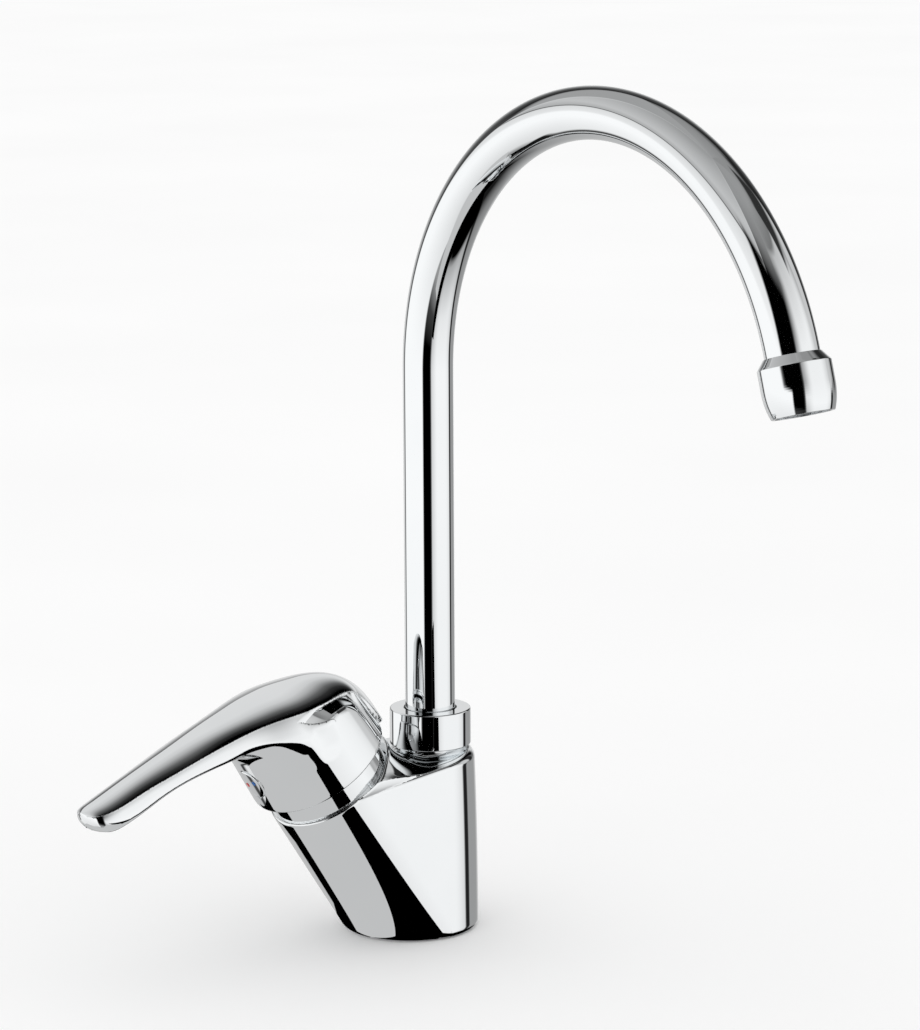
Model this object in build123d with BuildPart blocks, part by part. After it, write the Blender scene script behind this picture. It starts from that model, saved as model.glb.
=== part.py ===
"""Single-lever kitchen mixer with a swivelling swan-neck spout.

Frame: millimetres, +Z up, origin at the centre of the round base on the deck.
The lever points to -Y, the spout at rest points to +X.
"""

import os
from math import cos, radians, sin

from build123d import *

os.makedirs("parts", exist_ok=True)

# ---------------------------------------------------------------- driving dimensions
# base and column
BASE_R = 24.62
COLUMN_TOP_R = 23.45
COLUMN_H = 65.3
FLOOR_Z0 = 63.3          # saddle floor: z = FLOOR_Z0 + FLOOR_SLOPE * y
FLOOR_SLOPE = 0.09
VALLEY_R = 8.0

# inclined barrel for the cartridge
TILT = 33.55             # barrel axis leans this far from the vertical, towards -Y
RIM_Y, RIM_Z = -36.61, 60.09
BARREL_R = 23.17
CHAMBER_R = 20.2
CHAMBER_FLOOR = -22.6    # heights along the barrel axis, 0 at the rim

# riser, swan neck and collar
RISER_Y = 9.43
TUBE_R = 9.0
TUBE_BORE = 8.0
RISER_TOP = 203.33
ARC_R = 97.49
ARC_SWEEP = 163.5
TUBE_FOOT_Z = 72.4
NECK_R = 12.9
NECK_TOP = 76.0
SOCKET_R = 10.2
SOCKET_FLOOR = 40.0
COUNTERBORE_R = 12.0
COUNTERBORE_Z = 69.0
COLLAR_R = 14.67
COLLAR_Z0, COLLAR_Z1 = 66.3, 79.6

# aerator, lengths along the outlet axis from the arc's end
AER_R = 12.0
AER_LEN = 19.3
AER_MOUTH_R = 10.45

# waterways and fixings in the base
INLET_X, INLET_Y = 9.0, -10.6
INLET_R = 4.46           # tapping size of M10 x 1
INLET_DEPTH = 14.0
WATERWAY_R = 3.0
PORT_B = 4.5             # inlet ports in the chamber floor, towards the lever
OUTLET_B = -10.0
STUD_R = 3.32            # tapping size of M8
STUD_DEPTH = 18.0
STUD_Y = 12.0
GASKET_R = 21.5
GASKET_W = 2.6

# cartridge
PIVOT_A = 9.5
BALL_A = -2.5
BALL_R = 3.2
STEM_R = 4.0
PIN_R = 1.5
LIFT = 18.0

# trim ring and handle
RING_R = 22.0
RING_TOP = 9.8
SKIRT_A = 8.3
HEAD_R = 25.8
SKIRT_BORE = 24.4
BOSS_R = 7.0
BOSS_A = 16.0
SCREW_A = 21.0
PLUG_R = 6.0

# ---------------------------------------------------------------- frames
ct, st = cos(radians(TILT)), sin(radians(TILT))
AX = Vector(0, -st, ct)          # up the barrel axis
BX = Vector(0, -ct, -st)         # towards the lever, square to the axis
RIM = Vector(0, RIM_Y, RIM_Z)


def at(x, b, a):
    """Point from sideways x, lever-side b and height a on the barrel axis."""
    return RIM + Vector(x, 0, 0) + BX * b + AX * a


CART = Plane(origin=RIM, x_dir=(1, 0, 0), z_dir=AX)       # local y is -b
CART_SIDE = Plane(origin=RIM, x_dir=(1, 0, 0), z_dir=BX)  # local (radius, a)
CART_AXIS = Axis(RIM, AX)
BA = Plane(origin=RIM, x_dir=BX, z_dir=BX.cross(AX))      # local (b, a), side view

RISER_SIDE = Plane(origin=(0, RISER_Y, 0), x_dir=(1, 0, 0), z_dir=(0, -1, 0))
RISER_AXIS = Axis((0, RISER_Y, 0), (0, 0, 1))

sweep_end = radians(ARC_SWEEP)
ARC_C = Vector(ARC_R, RISER_Y, RISER_TOP)
TIP = ARC_C + Vector(-ARC_R * cos(sweep_end), 0, ARC_R * sin(sweep_end))
TIP_DIR = Vector(sin(sweep_end), 0, cos(sweep_end))
AER_SIDE = Plane(origin=TIP, x_dir=(0, -1, 0), z_dir=Vector(0, -1, 0).cross(TIP_DIR))
AER_AXIS = Axis(TIP, TIP_DIR)

# ---------------------------------------------------------------- mixer body

def floor_z(y):
    return FLOOR_Z0 + FLOOR_SLOPE * y


rear_rim = at(0, -BARREL_R, 0)
# where the barrel's rear line meets the saddle floor
k = ct / st
valley_y = (rear_rim.Z + k * rear_rim.Y - FLOOR_Z0) / (FLOOR_SLOPE + k)
valley_z = floor_z(valley_y)
top_y = rear_rim.Y - 14.0
top_z = rear_rim.Z + k * 14.0

with BuildPart() as mixer_body:
    # barrel, run down past the deck and trimmed there
    with BuildSketch(CART.offset(-92)):
        Circle(BARREL_R)
    extrude(amount=92)
    split(bisect_by=Plane.XY, keep=Keep.TOP)
    split(bisect_by=Plane.XZ, keep=Keep.TOP)
    # column, with its rounded shoulder
    with BuildSketch(Plane.XZ):
        with BuildLine():
            Polyline((COLUMN_TOP_R - 4.2, COLUMN_H), (0, COLUMN_H), (0, 0), (BASE_R, 0), (BASE_R - 0.1, 20), (COLUMN_TOP_R, COLUMN_H - 4.6))
            ThreePointArc(
                (COLUMN_TOP_R, COLUMN_H - 4.6), (COLUMN_TOP_R - 1.1, COLUMN_H - 1.5), (COLUMN_TOP_R - 4.2, COLUMN_H),
            )
        make_face()
    revolve(axis=Axis.Z)
    # web between the barrel and the column, flat on both sides
    with BuildSketch(Plane.YZ):
        with BuildLine():
            Polyline(
                (0, RIM_Z + RIM_Y * ct / st), (0, 66), (-5.0, 66), (-12.0, 62.2), (-22.0, 61.5),
                (-29.0, 62.0), (RIM_Y - 0.1, RIM_Z - 0.1), close=True,
            )
        make_face()
    extrude(amount=BASE_R, both=True)
    # both sides lean in a little towards the top
    lean = Vector(62, 0, BASE_R - BARREL_R).normalized()
    split(bisect_by=Plane(origin=(BASE_R, 0, 0), z_dir=lean), keep=Keep.BOTTOM)
    split(bisect_by=Plane(origin=(-BASE_R, 0, 0), z_dir=Vector(-lean.X, 0, lean.Z)), keep=Keep.BOTTOM)
    # the saddle behind the barrel
    with BuildSketch(Plane.YZ):
        with BuildLine():
            FilletPolyline(
                (top_y, top_z), (valley_y, valley_z), (45, floor_z(45)), (45, top_z),
                radius=[VALLEY_R, 1, 1, 1], close=True,
            )
        make_face()
    extrude(amount=45, both=True, mode=Mode.SUBTRACT)
    # neck that carries the collar
    with BuildSketch(Plane.XY.offset(58)):
        with Locations((0, RISER_Y)):
            Circle(NECK_R)
    extrude(amount=NECK_TOP - 58)
    # cartridge chamber, with a lead-in at the rim
    with BuildSketch(CART_SIDE):
        with BuildLine():
            Polyline(
                (0, 20), (CHAMBER_R + 0.6, 20), (CHAMBER_R + 0.6, -0.4), (CHAMBER_R, -1.0),
                (CHAMBER_R, CHAMBER_FLOOR), (0, CHAMBER_FLOOR), close=True,
            )
        make_face()
    revolve(axis=CART_AXIS, mode=Mode.SUBTRACT)
    # spout socket with its counterbore
    with BuildSketch(RISER_SIDE):
        with BuildLine():
            Polyline(
                (0, NECK_TOP + 5), (COUNTERBORE_R, NECK_TOP + 5), (COUNTERBORE_R, COUNTERBORE_Z),
                (SOCKET_R, COUNTERBORE_Z), (SOCKET_R, SOCKET_FLOOR), (5, SOCKET_FLOOR),
                (5, 30), (0, 30), close=True,
            )
        make_face()
    revolve(axis=RISER_AXIS, mode=Mode.SUBTRACT)
    # outlet way from the chamber floor to the socket
    with BuildSketch(CART.offset(CHAMBER_FLOOR)):
        with Locations((0, -OUTLET_B)):
            Circle(4)
    extrude(amount=-13, mode=Mode.SUBTRACT)
    with BuildSketch(Plane(origin=(0, -13, 35), z_dir=(0, 1, 0))):
        Circle(4)
    extrude(amount=13 + RISER_Y, mode=Mode.SUBTRACT)
    # hot and cold ways down to the threaded inlets
    with BuildSketch(CART.offset(CHAMBER_FLOOR)):
        with Locations((INLET_X, -PORT_B), (-INLET_X, -PORT_B)):
            Circle(WATERWAY_R)
    extrude(amount=-30, mode=Mode.SUBTRACT)
    with BuildSketch(Plane.XY):
        with Locations((INLET_X, INLET_Y), (-INLET_X, INLET_Y)):
            Circle(INLET_R)
    extrude(amount=INLET_DEPTH, mode=Mode.SUBTRACT)
    # stud hole
    with BuildSketch(Plane.XY):
        with Locations((0, STUD_Y)):
            Circle(STUD_R)
    extrude(amount=STUD_DEPTH, mode=Mode.SUBTRACT)
    # groove for the base gasket
    with BuildSketch(Plane.XY):
        Circle(GASKET_R + 0.1)
        Circle(GASKET_R - GASKET_W - 0.1, mode=Mode.SUBTRACT)
    extrude(amount=1.6, mode=Mode.SUBTRACT)
mixer_body.part.label = "mixer_body"
export_step(mixer_body.part, "parts/mixer_body.step")

with BuildPart() as base_gasket:
    with BuildSketch(Plane.XY):
        Circle(GASKET_R)
        Circle(GASKET_R - GASKET_W, mode=Mode.SUBTRACT)
    extrude(amount=1.6)
base_gasket.part.label = "base_gasket"
export_step(base_gasket.part, "parts/base_gasket.step")

# ---------------------------------------------------------------- cartridge, fixed pieces
BASE_A0, BASE_A1 = -22.4, -13.3
FIXED_A1 = -10.3
HOUSING_SHOULDER = -6.1
HOUSING_TOP = 5.0
PORTS = [(INLET_X, -PORT_B), (-INLET_X, -PORT_B)]

with BuildPart() as cartridge_base:
    with BuildSketch(CART.offset(BASE_A0)):
        Circle(19.8)
    extrude(amount=BASE_A1 - BASE_A0)
    with BuildSketch(CART.offset(BASE_A0)):
        with Locations(*PORTS):
            Circle(WATERWAY_R)
        with Locations((0, -OUTLET_B)):
            Circle(4)
    extrude(amount=BASE_A1 - BASE_A0, mode=Mode.SUBTRACT)
    # seats for the port seals
    with BuildSketch(CART.offset(BASE_A0)):
        with Locations(*PORTS):
            Circle(5.2)
        with Locations((0, -OUTLET_B)):
            Circle(6.2)
    extrude(amount=1.3, mode=Mode.SUBTRACT)
cartridge_base.part.label = "cartridge_base"
export_step(cartridge_base.part, "parts/cartridge_base.step")

with BuildPart() as cartridge_port_seals:
    with BuildSketch(CART.offset(CHAMBER_FLOOR)):
        with Locations(*PORTS):
            Circle(5.1)
            Circle(WATERWAY_R + 0.1, mode=Mode.SUBTRACT)
        with Locations((0, -OUTLET_B)):
            Circle(6.1)
            Circle(4.1, mode=Mode.SUBTRACT)
    extrude(amount=1.5)
cartridge_port_seals.part.label = "cartridge_port_seals"
export_step(cartridge_port_seals.part, "parts/cartridge_port_seals.step")

with BuildPart() as fixed_ceramic_disc:
    with BuildSketch(CART.offset(BASE_A1)):
        Circle(16.8)
        with Locations(*PORTS):
            Circle(WATERWAY_R, mode=Mode.SUBTRACT)
        with Locations((0, -OUTLET_B)):
            Circle(4, mode=Mode.SUBTRACT)
    extrude(amount=FIXED_A1 - BASE_A1)
fixed_ceramic_disc.part.label = "fixed_ceramic_disc"
export_step(fixed_ceramic_disc.part, "parts/fixed_ceramic_disc.step")

with BuildPart() as cartridge_housing:
    with BuildSketch(CART_SIDE):
        with BuildLine():
            Polyline(
                (19.8, BASE_A1), (19.8, HOUSING_SHOULDER), (15.9, HOUSING_SHOULDER),
                (15.9, HOUSING_TOP), (12.1, HOUSING_TOP), (12.1, 3.5), (14.3, 3.5),
                (14.3, -7.4), (17.2, -7.4), (17.2, BASE_A1), close=True,
            )
        make_face()
    revolve(axis=CART_AXIS)
cartridge_housing.part.label = "cartridge_housing"
export_step(cartridge_housing.part, "parts/cartridge_housing.step")

with BuildPart() as cartridge_nut:
    with BuildSketch(CART_SIDE):
        with BuildLine():
            Polyline(
                (20.1, HOUSING_SHOULDER), (20.1, -1.4), (19.9, -1.0), (19.9, 6.0),
                (16.2, 6.0), (16.2, HOUSING_SHOULDER), close=True,
            )
        make_face()
    revolve(axis=CART_AXIS)
    # spanner slots
    with BuildSketch(CART.offset(6.0)):
        with PolarLocations(18.0, 6):
            Rectangle(5.0, 3.0)
    extrude(amount=-2.0, mode=Mode.SUBTRACT)
cartridge_nut.part.label = "cartridge_nut"
export_step(cartridge_nut.part, "parts/cartridge_nut.step")

with BuildPart() as trim_ring:
    with BuildSketch(CART_SIDE):
        with BuildLine():
            Polyline(
                (20.05, 0), (21.5, 0), (21.5, 0.45), (RING_R, 0.7), (RING_R, RING_TOP - 0.6),
                (RING_R - 0.6, RING_TOP), (17.2, RING_TOP), (17.2, RING_TOP - 1.6),
                (20.05, RING_TOP - 1.6), close=True,
            )
        make_face()
    revolve(axis=CART_AXIS)
trim_ring.part.label = "trim_ring"
export_step(trim_ring.part, "parts/trim_ring.step")

# ---------------------------------------------------------------- spout foot, fixed pieces
with BuildPart() as spout_collar:
    with BuildSketch(RISER_SIDE):
        with BuildLine():
            Polyline(
                (NECK_R + 0.05, COLLAR_Z0), (COLLAR_R - 0.5, COLLAR_Z0), (COLLAR_R, COLLAR_Z0 + 0.5),
                (COLLAR_R, COLLAR_Z1 - 0.7), (COLLAR_R - 0.7, COLLAR_Z1), (TUBE_R + 0.5, COLLAR_Z1),
                (TUBE_R + 0.5, NECK_TOP + 0.6), (NECK_R + 0.05, NECK_TOP + 0.6), close=True,
            )
        make_face()
    revolve(axis=RISER_AXIS)
spout_collar.part.label = "spout_collar"
export_step(spout_collar.part, "parts/spout_collar.step")

with BuildPart() as collar_slip_ring:
    with BuildSketch(Plane.XY.offset(TUBE_FOOT_Z + 0.3)):
        with Locations((0, RISER_Y)):
            Circle(11.9)
            Circle(TUBE_R + 0.1, mode=Mode.SUBTRACT)
    extrude(amount=NECK_TOP + 0.6 - TUBE_FOOT_Z - 0.3)
collar_slip_ring.part.label = "collar_slip_ring"
export_step(collar_slip_ring.part, "parts/collar_slip_ring.step")

with BuildPart() as spout_socket_bush:
    with BuildSketch(Plane.XY.offset(SOCKET_FLOOR)):
        with Locations((0, RISER_Y)):
            Circle(SOCKET_R - 0.02)
            Circle(7.0, mode=Mode.SUBTRACT)
    extrude(amount=3.0)
spout_socket_bush.part.label = "spout_socket_bush"
export_step(spout_socket_bush.part, "parts/spout_socket_bush.step")

# ---------------------------------------------------------------- spout
with BuildPart() as spout_tube:
    with BuildLine() as spout_path:
        riser = Line((0, RISER_Y, TUBE_FOOT_Z), (0, RISER_Y, RISER_TOP))
        bend = ThreePointArc(
            (0, RISER_Y, RISER_TOP),
            ARC_C + Vector(-ARC_R * cos(sweep_end / 2), 0, ARC_R * sin(sweep_end / 2)),
            TIP,
        )
        Line(TIP, TIP + TIP_DIR * 4.0)
    with BuildSketch(Plane(origin=(0, RISER_Y, TUBE_FOOT_Z), z_dir=(0, 0, 1))):
        Circle(TUBE_R)
        Circle(TUBE_BORE, mode=Mode.SUBTRACT)
    sweep(path=spout_path.wires()[0])
spout_tube.part.label = "spout_tube"
export_step(spout_tube.part, "parts/spout_tube.step")

with BuildPart() as spout_ferrule:
    with BuildSketch(RISER_SIDE):
        with BuildLine():
            Polyline(
                (6.4, 43.4), (SOCKET_R - 0.08, 43.4), (SOCKET_R - 0.08, 47.0), (8.6, 47.0), (8.6, 49.6),
                (SOCKET_R - 0.08, 49.6), (SOCKET_R - 0.08, 55.0), (8.6, 55.0), (8.6, 57.6),
                (SOCKET_R - 0.08, 57.6), (SOCKET_R - 0.08, 69.4), (11.6, 69.4), (11.6, TUBE_FOOT_Z),
                (TUBE_BORE - 0.03, TUBE_FOOT_Z), (TUBE_BORE - 0.03, 84.0), (6.4, 84.0), close=True,
            )
        make_face()
    revolve(axis=RISER_AXIS)
spout_ferrule.part.label = "spout_ferrule"
export_step(spout_ferrule.part, "parts/spout_ferrule.step")

with BuildPart() as spout_o_rings:
    with BuildSketch(RISER_SIDE):
        with Locations((9.38, 48.3), (9.38, 56.3)):
            Circle(0.76)
    revolve(axis=RISER_AXIS)
spout_o_rings.part.label = "spout_o_rings"
export_step(spout_o_rings.part, "parts/spout_o_rings.step")

with BuildPart() as aerator_adapter:
    with BuildSketch(AER_SIDE):
        with BuildLine():
            Polyline(
                (6.3, -0.6), (TUBE_BORE - 0.05, -0.6), (TUBE_BORE - 0.05, 4.02), (10.1, 4.02), (10.1, 8.0),
                (6.3, 8.0), close=True,
            )
        make_face()
    revolve(axis=AER_AXIS)
aerator_adapter.part.label = "aerator_adapter"
export_step(aerator_adapter.part, "parts/aerator_adapter.step")

with BuildPart() as aerator_housing:
    with BuildSketch(AER_SIDE):
        with BuildLine():
            outer = Polyline(
                (TUBE_R + 0.06, 3.6), (TUBE_R + 0.06, 0.0), (TUBE_R + 0.4, 0.0), (AER_R - 0.3, 2.9),
                (AER_R, 3.4), (AER_R, 12.2),
            )
            ThreePointArc((AER_R, 12.2), (11.62, 15.8), (AER_MOUTH_R, AER_LEN))
            Polyline(
                (AER_MOUTH_R, AER_LEN), (9.2, AER_LEN), (9.2, 17.8), (10.2, 17.8), (10.2, 3.6),
                (TUBE_R + 0.06, 3.6),
            )
        make_face()
    revolve(axis=AER_AXIS)
aerator_housing.part.label = "aerator_housing"
export_step(aerator_housing.part, "parts/aerator_housing.step")

with BuildPart() as aerator_washer:
    with BuildSketch(AER_SIDE):
        with BuildLine():
            Polyline((6.8, 8.0), (10.1, 8.0), (10.1, 9.5), (6.8, 9.5), close=True)
        make_face()
    revolve(axis=AER_AXIS)
aerator_washer.part.label = "aerator_washer"
export_step(aerator_washer.part, "parts/aerator_washer.step")

AER_FACE = Plane(origin=TIP, x_dir=(0, 1, 0), z_dir=TIP_DIR)
with BuildPart() as aerator_insert:
    with BuildSketch(AER_FACE.offset(9.5)):
        Circle(10.1)
    extrude(amount=7.0)
    # cup of the jet regulator, open downwards, with its jets
    with BuildSketch(AER_FACE.offset(11.5)):
        Circle(8.6)
    extrude(amount=5.0, mode=Mode.SUBTRACT)
    with BuildSketch(AER_FACE.offset(9.5)):
        with PolarLocations(5.2, 12):
            Circle(0.7)
    extrude(amount=2.0, mode=Mode.SUBTRACT)
aerator_insert.part.label = "aerator_insert"
export_step(aerator_insert.part, "parts/aerator_insert.step")

with BuildPart() as aerator_screen:
    with BuildSketch(AER_FACE.offset(16.5)):
        Circle(10.1)
        with GridLocations(2.3, 2.3, 5, 5):
            Rectangle(1.7, 1.7, mode=Mode.SUBTRACT)
    extrude(amount=1.3)
aerator_screen.part.label = "aerator_screen"
export_step(aerator_screen.part, "parts/aerator_screen.step")

# ---------------------------------------------------------------- rotor of the cartridge
SLOT_X = STEM_R + 0.35
with BuildPart() as stem_holder:
    with BuildSketch(CART_SIDE):
        with BuildLine():
            Polyline(
                (0, -0.4), (14.0, -0.4), (14.0, 3.2), (11.95, 3.2), (11.95, 9.5), (10.2, 12.2), (0, 12.2),
                close=True,
            )
        make_face()
    revolve(axis=CART_AXIS)
    # slot that the stem rocks in
    with BuildSketch(BA):
        with BuildLine():
            Polyline((-5.3, 14), (-5.3, 8.5), (-4.9, -2), (8.0, -2), (4.9, 9.5), (4.9, 14), close=True)
        make_face()
    extrude(amount=SLOT_X, both=True, mode=Mode.SUBTRACT)
    # cross hole for the pivot pin
    with BuildSketch(Plane(origin=at(-14, 0, PIVOT_A), z_dir=(1, 0, 0))):
        Circle(PIN_R)
    extrude(amount=28, mode=Mode.SUBTRACT)
stem_holder.part.label = "stem_holder"
export_step(stem_holder.part, "parts/stem_holder.step")

with BuildPart() as stem_pivot_pin:
    with BuildSketch(Plane(origin=at(-11.4, 0, PIVOT_A), z_dir=(1, 0, 0))):
        Circle(PIN_R)
    extrude(amount=22.8)
stem_pivot_pin.part.label = "stem_pivot_pin"
export_step(stem_pivot_pin.part, "parts/stem_pivot_pin.step")

# ---------------------------------------------------------------- sliding disc
with BuildPart() as moving_ceramic_disc:
    with BuildSketch(CART.offset(FIXED_A1 + 0.05)):
        Circle(12.8)
    extrude(amount=2.55)
    # mixing pocket in its underside
    with BuildSketch(CART.offset(FIXED_A1 + 0.05)):
        with Locations((0, 3.0)):
            SlotOverall(13.0, 7.0)
    extrude(amount=1.4, mode=Mode.SUBTRACT)
moving_ceramic_disc.part.label = "moving_ceramic_disc"
export_step(moving_ceramic_disc.part, "parts/moving_ceramic_disc.step")

with BuildPart() as disc_carrier:
    with BuildSketch(CART.offset(FIXED_A1 + 2.6)):
        Circle(9.8)
    extrude(amount=6.8)
    # socket for the stem's ball
    with BuildSketch(CART.offset(BALL_A - BALL_R - 0.4)):
        RectangleRounded(2 * BALL_R + 0.7, 2 * BALL_R + 0.7, 3.0)
    extrude(amount=12, mode=Mode.SUBTRACT)
disc_carrier.part.label = "disc_carrier"
export_step(disc_carrier.part, "parts/disc_carrier.step")

# ---------------------------------------------------------------- handle
# stations along the crease of the cap: b, a, half width, crown, depth of the side
STATIONS = [
    (-22.6, 9.0, 18.6, 6.0, 4.0),
    (-21.9, 15.0, 19.1, 6.2, 4.0),
    (-20.7, 22.6, 19.8, 6.2, 4.0),
    (-18.9, 29.0, 20.2, 6.0, 4.0),
    (-15.2, 34.0, 20.4, 5.6, 4.5),
    (-9.0, 36.9, 20.3, 5.2, 5.0),
    (0.9, 39.4, 19.4, 4.8, 7.0),
    (7.0, 41.2, 18.0, 4.7, 8.0),
    (15.3, 43.8, 16.0, 4.4, 8.3),
    (28.2, 47.4, 13.6, 4.1, 8.0),
    (41.7, 50.7, 11.8, 3.8, 7.4),
    (52.6, 53.2, 10.4, 3.6, 7.2),
    (62.3, 55.3, 9.3, 3.4, 7.2),
    (72.1, 57.2, 8.8, 3.2, 7.4),
    (78.5, 58.9, 7.8, 2.8, 7.5),
    (82.3, 60.2, 5.6, 2.2, 6.2),
    (84.2, 60.9, 2.6, 1.2, 3.6),
]

with BuildPart() as handle_lever:
    # head round the cartridge, with its top shoulder
    with BuildSketch(CART.offset(SKIRT_A)):
        Circle(HEAD_R)
    extrude(amount=40)
    with BuildSketch(BA):
        with BuildLine():
            Polyline(
                (-HEAD_R - 2, SKIRT_A - 1), (-HEAD_R - 2, 20.0), (-22.5, 28.0), (-17.5, 32.5), (-9.0, 35.0),
                (1.0, 36.2), (12.0, 36.0), (20.0, 34.0), (HEAD_R + 2, 29.5), (HEAD_R + 2, SKIRT_A - 1),
                close=True,
            )
        make_face()
    extrude(amount=40, both=True, mode=Mode.INTERSECT)
    # cap and arm in one sweep from the heel to the tip
    for i, (b, a, w, c, s) in enumerate(STATIONS):
        b0, a0 = STATIONS[max(i - 1, 0)][:2]
        b1, a1 = STATIONS[min(i + 1, len(STATIONS) - 1)][:2]
        along = BX * (b1 - b0) + AX * (a1 - a0)
        with BuildSketch(Plane(origin=at(0, b, a), x_dir=(1, 0, 0), z_dir=along)):
            with BuildLine():
                ThreePointArc((-w, 0), (0, c), (w, 0))
                Line((w, 0), (w - 0.12 * s, -0.75 * s))
                ThreePointArc((w - 0.12 * s, -0.75 * s), (0, -s), (-w + 0.12 * s, -0.75 * s))
                Line((-w + 0.12 * s, -0.75 * s), (-w, 0))
            make_face()
    loft()
    # hollow under the head
    with BuildSketch(CART_SIDE):
        with BuildLine():
            Polyline(
                (0, SKIRT_A - 2), (SKIRT_BORE, SKIRT_A - 2), (SKIRT_BORE, 17.0), (15.0, 28.0), (0, 28.0),
                close=True,
            )
        make_face()
    revolve(axis=CART_AXIS, mode=Mode.SUBTRACT)
    # boss on the stem
    with BuildSketch(CART.offset(BOSS_A)):
        Circle(BOSS_R)
    extrude(amount=14)
    with BuildSketch(CART.offset(BOSS_A)):
        Circle(STEM_R + 0.03)
    extrude(amount=14.2, mode=Mode.SUBTRACT)
    # threaded hole for the grub screw and the seat of the index plug
    with BuildSketch(Plane(origin=at(0, 0, SCREW_A), x_dir=(1, 0, 0), z_dir=BX)):
        Circle(2.5)
    extrude(amount=40, mode=Mode.SUBTRACT)
    with BuildSketch(Plane(origin=at(0, 24.2, SCREW_A), x_dir=(1, 0, 0), z_dir=BX)):
        Circle(PLUG_R + 0.1)
    extrude(amount=8, mode=Mode.SUBTRACT)
handle_lever.part.label = "handle_lever"
export_step(handle_lever.part, "parts/handle_lever.step")

with BuildPart() as cartridge_stem:
    with BuildSketch(CART_SIDE):
        with BuildLine():
            Polyline((0, BALL_A), (2.3, BALL_A), (2.3, 2.6), (STEM_R, 4.4), (STEM_R, 29.6), (3.6, 30.0), (0, 30.0), close=True)
        make_face()
    revolve(axis=CART_AXIS)
    with Locations(at(0, 0, BALL_A)):
        Sphere(BALL_R)
    with BuildSketch(Plane(origin=at(-14, 0, PIVOT_A), z_dir=(1, 0, 0))):
        Circle(PIN_R + 0.05)
    extrude(amount=28, mode=Mode.SUBTRACT)
    # flat for the grub screw
    with BuildSketch(Plane(origin=at(0, 3.4, SCREW_A), x_dir=(1, 0, 0), z_dir=BX)):
        Circle(3.6)
    extrude(amount=3, mode=Mode.SUBTRACT)
cartridge_stem.part.label = "cartridge_stem"
export_step(cartridge_stem.part, "parts/cartridge_stem.step")

with BuildPart() as grub_screw:
    with BuildSketch(Plane(origin=at(0, 3.4, SCREW_A), x_dir=(1, 0, 0), z_dir=BX)):
        Circle(2.47)
    extrude(amount=6.0)
    with BuildSketch(Plane(origin=at(0, 9.4, SCREW_A), x_dir=(1, 0, 0), z_dir=BX)):
        RegularPolygon(1.44, 6)
    extrude(amount=-2.8, mode=Mode.SUBTRACT)
grub_screw.part.label = "grub_screw"
export_step(grub_screw.part, "parts/grub_screw.step")

PLUG_FACE = 26.1
with BuildPart() as index_plug:
    with BuildSketch(Plane(origin=at(0, 24.2, SCREW_A), x_dir=(1, 0, 0), z_dir=BX)):
        Circle(PLUG_R)
    extrude(amount=PLUG_FACE - 24.2)
    fillet(index_plug.faces().sort_by(Axis(RIM, BX))[-1].edges(), radius=0.5)
    # two round seats for the hot and cold marks
    with BuildSketch(Plane(origin=at(0, PLUG_FACE, SCREW_A), x_dir=(1, 0, 0), z_dir=BX)):
        with Locations((-2.4, 0), (2.4, 0)):
            Circle(1.25)
    extrude(amount=-0.5, mode=Mode.SUBTRACT)
index_plug.part.label = "index_plug"
export_step(index_plug.part, "parts/index_plug.step")

# looking at the lever from the front, hot is on the left
with BuildPart() as hot_mark:
    with BuildSketch(Plane(origin=at(-2.4, PLUG_FACE - 0.5, SCREW_A), x_dir=(1, 0, 0), z_dir=BX)):
        Circle(1.25)
    extrude(amount=0.6)
hot_mark.part.label = "hot_mark"
export_step(hot_mark.part, "parts/hot_mark.step")

with BuildPart() as cold_mark:
    with BuildSketch(Plane(origin=at(2.4, PLUG_FACE - 0.5, SCREW_A), x_dir=(1, 0, 0), z_dir=BX)):
        Circle(1.25)
    extrude(amount=0.6)
cold_mark.part.label = "cold_mark"
export_step(cold_mark.part, "parts/cold_mark.step")
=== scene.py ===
"""Looks of a chrome single-lever kitchen mixer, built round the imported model.

Distances in the mesh code are millimetres in the row frame; objects are made in metres.
"""

import math

import bpy
import numpy as np
from mathutils import Matrix, Vector


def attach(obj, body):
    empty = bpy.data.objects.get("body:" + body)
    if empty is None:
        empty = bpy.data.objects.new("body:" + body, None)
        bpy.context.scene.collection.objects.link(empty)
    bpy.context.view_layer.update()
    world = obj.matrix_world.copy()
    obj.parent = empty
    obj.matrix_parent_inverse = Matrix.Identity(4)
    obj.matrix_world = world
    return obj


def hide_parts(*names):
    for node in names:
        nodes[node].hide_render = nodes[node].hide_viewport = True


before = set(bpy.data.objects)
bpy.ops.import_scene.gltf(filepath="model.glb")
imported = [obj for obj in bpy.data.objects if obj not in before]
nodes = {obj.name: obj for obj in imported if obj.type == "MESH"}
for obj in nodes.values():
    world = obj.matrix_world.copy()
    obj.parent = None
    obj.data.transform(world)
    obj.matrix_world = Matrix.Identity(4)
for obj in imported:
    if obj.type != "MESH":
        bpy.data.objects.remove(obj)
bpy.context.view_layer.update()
scene = bpy.context.scene
MM = 0.001

# ---------------------------------------------------------------- frames, millimetres
TILT = math.radians(33.55)
CT, ST = math.cos(TILT), math.sin(TILT)
RIM_Y, RIM_Z = -36.61, 60.09
RISER_Y = 9.43


def to_axis(P):
    """Row frame to the barrel's own frame: sideways x, lever side b, height a."""
    dy, dz = P[:, 1] - RIM_Y, P[:, 2] - RIM_Z
    return np.stack([P[:, 0], -CT * dy - ST * dz, -ST * dy + CT * dz], 1)


def from_axis(Q):
    return np.stack([Q[:, 0], RIM_Y - CT * Q[:, 1] - ST * Q[:, 2], RIM_Z - ST * Q[:, 1] + CT * Q[:, 2]], 1)


# ---------------------------------------------------------------- distance helpers
def step(t):
    t = np.clip(t, 0.0, 1.0)
    return t * t * (3.0 - 2.0 * t)


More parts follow.
